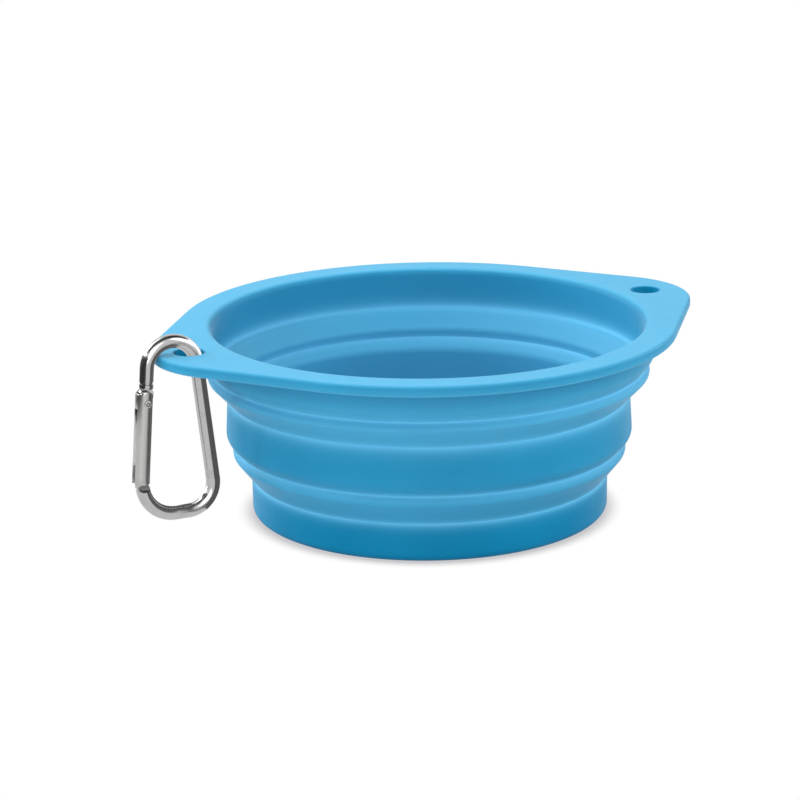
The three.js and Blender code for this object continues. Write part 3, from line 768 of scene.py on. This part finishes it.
def makeGate(s):
    # A bar turned about the gate's line, rounded over at the hinge, then slotted, windowed and bored
    place, end = plan["place"], s["top"] + s["margin"]
    line = roundedLine([
        (0, gateFoot, 0), (s["radius"], gateFoot, s["footRound"]), (s["radius"], end, 0), (0, end, 0)], 5)
    grid = lathe(evenLine(line, s["step"]), s["segments"]) + np.array([s["tube"], 0, 0])
    piece = pieceFrom("gate_tube", shell([sheet(grid)], place=place), metals["satinAluminium"], 35)
    sheets, flats = slab(gateDome(s), s["domeDepth"], s["domeEdge"])
    carve(piece, [shell(sheets, flats, place @ sideways)], "INTERSECT")
    half, far, (boreX, boreRadius) = s["slot"] / 2, s["far"], s["bore"]
    slotX, noseEnd = s["tube"] - s["radius"] + s["wall"], gateFoot + s["noseSlot"]
    carve(piece, [
        blockShell((slotX, -half, s["slotFloor"]), (far, half, end), place),
        blockShell((-far, -half, s["window"][0]), (boreX, half, s["window"][1]), place),
        blockShell((-far, -half, gateFoot - s["margin"]), (s["noseSlotInner"], half, noseEnd), place)])
    cleaned(piece)
    softened = piece.modifiers.new("edges", "BEVEL")
    softened.width, softened.segments, softened.limit_method = s["bevel"] * mm, 2, "ANGLE"
    softened.angle_limit = math.radians(s["bevelFrom"])
    bpy.context.view_layer.update()
    cleaned(applied(piece))
    bore = roundBar(boreRadius, noseEnd + s["boreFloor"], 0, s["boreSegments"]) + np.array([boreX, 0, 0])
    hole = roundBar(s["rivetHole"], -s["through"], s["through"], s["boreSegments"])
    carve(piece, [shell([sheet(bore)], place=place), shell([sheet(hole)], place=place @ sideways)])
    smoothed(cleaned(piece))
    x, y, z = inGate(pointsOf(piece))
    markDrawn(piece, z, np.arctan2(y, x - s["tube"]))
    # Faces inside the tube, in the slots, window and bores, get a duller finish and painted shade
    markMilledAndShaded(piece, np.hypot(x - s["tube"], y) < s["radius"] - s["skin"])
    return piece


def makePin(name, half, x, z):
    # A small part turned about a line along Y through (x, z) of the gate's frame, from half of its profile
    line = np.vstack([half, (half * [1, -1])[::-1]])
    place = plan["place"] @ Matrix.Translation((x, 0, z)) @ sideways
    body = shell([sheet(lathe(line, pinSizes["segments"]))], place=place)
    piece = pieceFrom(name, body, metals["brightSteel"], 35)
    points = pointsOf(piece)
    markDrawn(piece, points[:, 1], np.arctan2(points[:, 2], points[:, 0]))
    return piece


def makeRivet(s):
    # A pin with a flat head at each end and a dimple in each head, with a ring of painted shade on the
    # dimple's edge
    seat = gateSizes["radius"] + s["gap"]
    width, depth = s["dimple"]
    face = seat + s["headHeight"]
    half = roundedLine([
        (0, face - depth, 0), (width - s["dimpleSlope"], face - depth, s["dimpleFoot"]),
        (width, face, s["dimpleEdge"]), (s["head"], face, s["headEdge"]), (s["head"], seat, s["seatEdge"]),
        (s["rivet"], seat, 0), (s["rivet"], 0, 0)], 5)
    piece = makePin("gate_rivet_pin", half, 0, 0)
    x, y, z = inGate(pointsOf(piece))
    reach, (within, beyond) = np.hypot(x, z), s["ring"]
    markMilledAndShaded(piece, (reach > width - within) & (reach < width + beyond) & (np.abs(y) > seat))
    return piece


def makeLatchPin(s):
    # A plain pin with softened ends
    end = s["latchHalf"]
    half = roundedLine([(0, end, 0), (s["latch"], end, s["latchEdge"]), (s["latch"], 0, 0)], 5)
    return makePin("latch_cross_pin", half, gateSizes["tube"], gateFoot + noseSizes["pinRise"])


def springEnds():
    # Foot and top of the coil, and the plunger's top face, along the gate
    _, heelZ, heelRadius = tongueSizes["heel"]
    top = heelZ - heelRadius - pinSizes["gap"]
    inset = springSizes["wire"] / 2 + pinSizes["gap"]
    foot = gateFoot + gateSizes["noseSlot"] + gateSizes["boreFloor"] + inset
    return foot, top - springSizes["plunger"] - inset, top


def inBore(name, grid):
    # A small steel part inside the gate, with its drawn lines along Z
    piece = pieceFrom(name, shell([sheet(grid)], place=plan["place"]), metals["brightSteel"])
    points = pointsOf(piece)
    markDrawn(piece, points[:, 2], points[:, 1] * 3)
    return piece


def makeSpring(s):
    # A round wire carried along a helix, its ends closed
    foot, top, _ = springEnds()
    t = np.linspace(0, 1, s["turns"] * s["turnSteps"])
    a = 2 * np.pi * s["turns"] * t
    x, y = gateSizes["bore"][0] + s["radius"] * np.cos(a), s["radius"] * np.sin(a)
    path = np.stack([x, y, foot + (top - foot) * t], axis=-1)
    rings = sweep(path, np.array([[0.0, 0.0, 1.0]]), s["wire"] / 2, s["sides"])
    return inBore("gate_coil", capped(rings, s["endRound"], s["endRound"]))


def makePlunger(s):
    # A short slug turned about the bore's line, its two edges rounded
    _, _, top = springEnds()
    radius, foot, (topEdge, footEdge) = s["plungerRadius"], top - s["plunger"], s["plungerEdges"]
    line = roundedLine([(0, top, 0), (radius, top, topEdge), (radius, foot, footEdge), (0, foot, 0)], 5)
    return inBore("plunger_slug", lathe(line, pinSizes["segments"]) + np.array([gateSizes["bore"][0], 0, 0]))


carabiner = makeFrame(rodSizes)
gate = makeGate(gateSizes)
rivet = makeRivet(pinSizes)
latchPin = makeLatchPin(pinSizes)
spring = makeSpring(springSizes)
plunger = makePlunger(springSizes)
print("carabiner made")


# Each piece rides on its body and stands for its CAD node
for piece, body, node, slot in (
        (rim, "rim", "rim_with_ears", "silicone"), (middle, "middle", "middle_band", "silicone"),
        (base, "base", "base_cup", "silicone"), (carabiner, "carabiner", "carabiner_frame", "aluminium"),
        (gate, "gate", "carabiner_gate", "aluminium"), (rivet, "gate", "gate_rivet", "steel"),
        (latchPin, "gate", "latch_pin", "steel"), (plunger, "plunger", "spring_plunger", "steel")):
    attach(piece, body)
    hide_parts(node)
springFoot, springTop = (plan["place"] @ Vector((gateSizes["bore"][0], 0, z)) * mm for z in springEnds()[:2])
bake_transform(upperFold)
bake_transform(lowerFold)
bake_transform(spring)
for piece, node, slot in ((upperFold, "upper_fold", "silicone"), (lowerFold, "lower_fold", "silicone"),
                          (spring, "gate_spring", "steel")):
    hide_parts(node)
rim.visible_glossy = False  # keeps the flange's blue out of the bright rod that stands just above it
print("pieces ride on their bodies")


# Studio: a white floor and room, six soft lamps, and three dark cards for the metal to reflect
stageLook = {
    "floor": 4.0, "floorColour": (0.8, 0.8, 0.8, 1), "roomLevel": 0.06, "white": (1, 1, 1, 1),
    "shadow": (0.58, 0.58, 0.6, 1), "shadowReach": 0.007, "shadowRange": (0.4, 0.9), "shadowSamples": 24,
}


def seenOrReflected(f):
    # 1 for what the camera sees straight on, in a reflection or through something clear
    path = f.node("ShaderNodeLightPath").socket.node.outputs
    rays = [Wire(f, path[kind]) for kind in ("Is Camera Ray", "Is Glossy Ray", "Is Transmission Ray")]
    sums = {0: rays[0] + rays[1], 1: rays[2]}
    return f.node("ShaderNodeMath", {"operation": "ADD", "use_clamp": True}, sums)


def makeFloor(s):
    # A flat sheet: seen or reflected it is white, with a painted shadow that is greyer close under the
    # object;
    # to other light it is matt
    side = np.linspace(-s["floor"], s["floor"], 3)
    x, y = np.meshgrid(side, side)
    points, faces = sheet(np.stack([x, y, 0 * x], axis=-1), wrapColumns=False)
    mesh = bpy.data.meshes.new("floor")
    mesh.from_pydata(points.tolist(), [], faces[:, ::-1].tolist())
    material = bpy.data.materials.new("paleFloor")
    f = Finish(material)
    seen = seenOrReflected(f)
    reach = {"Distance": s["shadowReach"]}
    openness = f.node("ShaderNodeAmbientOcclusion", {"samples": s["shadowSamples"]}, reach, output=1)
    shade = f.blend(f.spread(openness, *s["shadowRange"]), s["shadow"], s["white"])
    white = f.node("ShaderNodeEmission", None, {"Color": shade, "Strength": 1.0})
    matt = f.node("ShaderNodeBsdfDiffuse", None, {"Color": s["floorColour"]})
    both = f.node("ShaderNodeMixShader", None, {0: seen, 1: matt, 2: white})
    f.node("ShaderNodeOutputMaterial", None, {"Surface": both})
    mesh.materials.append(material)
    floor = bpy.data.objects.new("floor", mesh)
    scene.collection.objects.link(floor)


def makeWorld(s):
    # A faint even light; seen or reflected, the room is white
    world = bpy.data.worlds.new("studio")
    scene.world = world
    f = Finish(world)
    light = f.node("ShaderNodeBackground", None, {"Color": s["white"], "Strength": s["roomLevel"]})
    white = f.node("ShaderNodeBackground", None, {"Color": s["white"], "Strength": 1.0})
    both = f.node("ShaderNodeMixShader", None, {0: seenOrReflected(f), 1: light, 2: white})
    f.node("ShaderNodeOutputWorld", None, {"Surface": both})


lampLook = {  # size, distance, azimuth, elevation, power
    "frontLamp": (0.9, 1.2, -26.5, 22.0, 7.3),
    "leftLamp": (0.9, 1.2, -101.5, 35.0, 4.0),
    "highLamp": (0.9, 1.2, -116.5, 60.0, 10.6),
    "backLeftLamp": (0.9, 1.2, -140.0, 15.0, 11.8),
    "rightLamp": (0.9, 1.2, 48.5, 35.0, 8.0),
    "backRightLamp": (0.9, 1.2, 87.0, 15.0, 5.4),
}


def towards(azimuth, elevation):
    # Unit vector to a side given in degrees: azimuth from -Y towards +X, elevation above the floor
    turn, rise = math.radians(azimuth), math.radians(elevation)
    return Vector((math.sin(turn) * math.cos(rise), -math.cos(turn) * math.cos(rise), math.sin(rise)))


def makeLamp(name, size, distance, azimuth, elevation, power):
    # A square soft lamp that faces the bowl from a given side
    data = bpy.data.lights.new(name, "AREA")
    data.shape, data.size, data.energy = "SQUARE", size, power
    lamp = bpy.data.objects.new(name, data)
    away = towards(azimuth, elevation)
    turned = away.to_track_quat("Z", "Y").to_matrix().to_4x4()
    lamp.matrix_world = Matrix.Translation(away * distance) @ turned
    lamp.visible_camera = False
    scene.collection.objects.link(lamp)


flagLook = {  # centre, one edge, the other edge, brightness
    "bowlSide": ((-0.0614, 0.0, 0.0265), (0, 0.06, 0), (0, 0, 0.045), 0.17),
    "outside": ((-0.105, 0.02, 0.049), (0, 0.12, 0), (0, 0, 0.030), 0.05),
    "overhead": ((-0.074, -0.02, 0.35), (0.9, 0, 0), (0, 0.3, 0), 0.06),
}


def makeFlag(name, centre, across, along, brightness):
    # A dark card that only reflections see: it puts the dark bands on the polished metal
    half = np.array([-0.5, 0.5])
    grid = np.array(centre) + half[:, None, None] * np.array(across) + half[None, :, None] * np.array(along)
    points, faces = sheet(grid, wrapColumns=False)
    mesh = bpy.data.meshes.new(name)
    mesh.from_pydata(points.tolist(), [], faces.tolist())
    material = bpy.data.materials.new(name)
    f = Finish(material)
    colour = (brightness, brightness, brightness, 1)
    grey = f.node("ShaderNodeEmission", None, {"Color": colour, "Strength": 1.0})
    f.node("ShaderNodeOutputMaterial", None, {"Surface": grey})
    mesh.materials.append(material)
    flag = bpy.data.objects.new(name, mesh)
    flag.visible_camera = flag.visible_diffuse = flag.visible_shadow = flag.visible_transmission = False
    scene.collection.objects.link(flag)


cameraLook = {
    "azimuth": -26.5, "elevation": 16.31, "distance": 0.8, "roll": -0.724, "target": (0, 0, 0.025),
    "focal": 3.694, "sensor": 36.0, "clip": (0.01, 50),  # focal length in widths of the frame
    "at": (429.0, 417.2), "frame": 800,  # the target's pixel in the square frame
}


def makeCamera(s):
    # Looks at the target from the photograph's side; shift puts the target on its pixel
    back = towards(s["azimuth"], s["elevation"])
    data = bpy.data.cameras.new("camera")
    data.sensor_width = s["sensor"]
    data.lens = s["focal"] * s["sensor"]
    data.shift_x = 0.5 - s["at"][0] / s["frame"]
    data.shift_y = s["at"][1] / s["frame"] - 0.5
    data.clip_start, data.clip_end = s["clip"]
    camera = bpy.data.objects.new("camera", data)
    aim = (-back).to_track_quat("-Z", "Y").to_matrix().to_4x4()
    roll = Matrix.Rotation(math.radians(s["roll"]), 4, "Z")
    camera.matrix_world = Matrix.Translation(Vector(s["target"]) + back * s["distance"]) @ aim @ roll
    scene.collection.objects.link(camera)
    scene.camera = camera


makeFloor(stageLook)
makeWorld(stageLook)
for name, look in lampLook.items():
    makeLamp(name, *look)
for name, look in flagLook.items():
    makeFlag(name, *look)
makeCamera(cameraLook)
scene.view_settings.view_transform = "Standard"
print("stage made")
